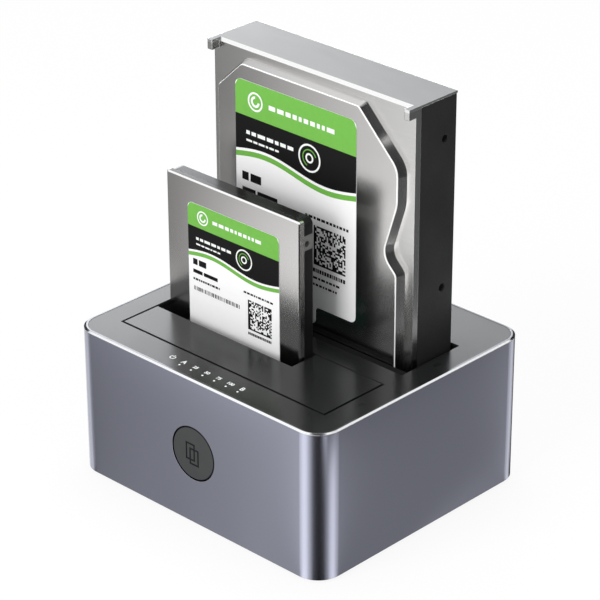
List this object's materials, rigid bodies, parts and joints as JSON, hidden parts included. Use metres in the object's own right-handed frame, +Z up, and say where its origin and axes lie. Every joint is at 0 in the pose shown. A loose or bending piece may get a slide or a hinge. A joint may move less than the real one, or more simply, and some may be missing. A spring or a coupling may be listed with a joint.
{
  "type": "drive duplicator",
  "caption": "Dual-bay hard-drive docking and cloning station with a 3.5 inch and a 2.5 inch drive standing in its sprung-flap slots and a round copy button.",
  "frame": {"origin": "middle of the footprint, on the surface that the feet stand on", "axes": "+Z up out of the slots; -Y is the front face with the button; +X runs to the right along the front face"},
  "size_m": [0.1296, 0.1138, 0.1653],
  "materials": {
    "shell_aluminium": "anodised, fine matt with bright bevel",
    "lid_plastic": "semi-gloss grey",
    "dark_plastic": "matt black",
    "button_plastic": "satin dark grey",
    "rubber": "matt",
    "steel": "zinc plated",
    "spring_steel": "bright wire",
    "board": "solder mask green",
    "chip": "moulded black",
    "led": "clear cap",
    "light_pipe": "clear",
    "ribbon": "grey ribbon",
    "socket_shell": "nickel plated",
    "drive_casting": "black coated casting",
    "drive_deck": "bare machined",
    "drive_cover": "bright satin sheet",
    "drive_label": "coated sticker",
    "drive_board": "solder mask",
    "drive_plug": "moulded black",
    "disc": "mirror platter",
    "head_arm": "machined"
  },
  "bodies": {
    "dock": {"outer_shell": "shell_aluminium", "top_panel": "lid_plastic", "base_plate": "dark_plastic", "rubber_feet": "rubber", "base_screws": "steel", "well_screws": "steel", "front_slot_well": "dark_plastic", "rear_slot_well": "dark_plastic", "front_hinge_pin": "steel", "rear_hinge_pin": "steel", "front_flap_spring": "spring_steel", "rear_flap_spring": "spring_steel", "front_sata_socket": "dark_plastic", "rear_sata_socket": "dark_plastic", "button_switch": "dark_plastic", "button_guide": "dark_plastic", "button_board": "board", "indicator_light_pipes": "light_pipe", "indicator_leds": "led", "indicator_board": "board", "small_board_screws": "steel", "main_board": "board", "board_chips": "chip", "board_capacitors": "chip", "main_board_screws": "steel", "front_ribbon": "ribbon", "switch_leads": "ribbon", "rear_port_panel": "dark_plastic", "power_switch_body": "dark_plastic", "dc_jack": "dark_plastic", "usb_socket": "socket_shell", "usb_tongue": "dark_plastic"},
    "button": {"clone_button": "button_plastic", "button_plunger": "dark_plastic"},
    "front_flap": {"front_flap": "lid_plastic"},
    "rear_flap": {"rear_flap": "lid_plastic"},
    "rocker": {"power_rocker": "dark_plastic"},
    "large_drive": {"large_drive_base": "drive_casting", "large_drive_frame": "drive_deck", "large_drive_cover": "drive_cover", "large_drive_label": "drive_label", "large_drive_board": "drive_board", "large_drive_board_screws": "steel", "large_drive_plug": "drive_plug"},
    "large_discs": {"large_drive_discs": "disc"},
    "large_head_arm": {"large_drive_head_arm": "head_arm"},
    "small_drive": {"small_drive_base": "drive_casting", "small_drive_cover": "drive_cover", "small_drive_label": "drive_label", "small_drive_board": "drive_board", "small_drive_board_screws": "steel", "small_drive_plug": "drive_plug"},
    "small_disc": {"small_drive_disc": "disc"},
    "small_head_arm": {"small_drive_head_arm": "head_arm"}
  },
  "joints": [
    {"name": "button_press", "type": "slide", "parent": "dock", "child": "button", "axis": [0, 1, 0], "range_m": [0, 0.001], "stiffness_N_per_m": 400, "springref_m": -0.002},
    {"name": "front_flap_swing", "type": "hinge", "parent": "dock", "child": "front_flap", "pos_m": [0, -0.04045, 0.0598], "axis": [-1, 0, 0], "range_deg": [0, 85], "stiffness_Nm_per_rad": 0.004, "springref_deg": -34.38, "deforming": ["front_flap_spring"]},
    {"name": "rear_flap_swing", "type": "hinge", "parent": "dock", "child": "rear_flap", "pos_m": [0, 0.00115, 0.0598], "axis": [-1, 0, 0], "range_deg": [0, 3], "stiffness_Nm_per_rad": 0.004, "springref_deg": -124.33, "deforming": ["rear_flap_spring"]},
    {"name": "power_rocker_tilt", "type": "hinge", "parent": "dock", "child": "rocker", "pos_m": [0.032, 0.0527, 0.022], "axis": [0, 0, -1], "range_deg": [0, 18]},
    {"name": "large_drive_lift", "type": "slide", "parent": "dock", "child": "large_drive", "axis": [0, 0, 1], "range_m": [0, 0.05]},
    {"name": "large_discs_spin", "type": "hinge", "parent": "large_drive", "child": "large_discs", "pos_m": [0, 0.019, 0.1133], "axis": [0, 1, 0], "continuous": true},
    {"name": "large_arm_swing", "type": "hinge", "parent": "large_drive", "child": "large_head_arm", "pos_m": [0.031, 0.019, 0.0653], "axis": [0, 1, 0], "range_deg": [0, 37]},
    {"name": "small_drive_lift", "type": "slide", "parent": "dock", "child": "small_drive", "axis": [0, 0, 1], "range_m": [0, 0.05]},
    {"name": "small_disc_spin", "type": "hinge", "parent": "small_drive", "child": "small_disc", "pos_m": [-0.0165, -0.0155, 0.0837], "axis": [0, 1, 0], "continuous": true},
    {"name": "small_arm_swing", "type": "hinge", "parent": "small_drive", "child": "small_head_arm", "pos_m": [0.0055, -0.0155, 0.0483], "axis": [0, 1, 0], "range_deg": [0, 38]}
  ]
}
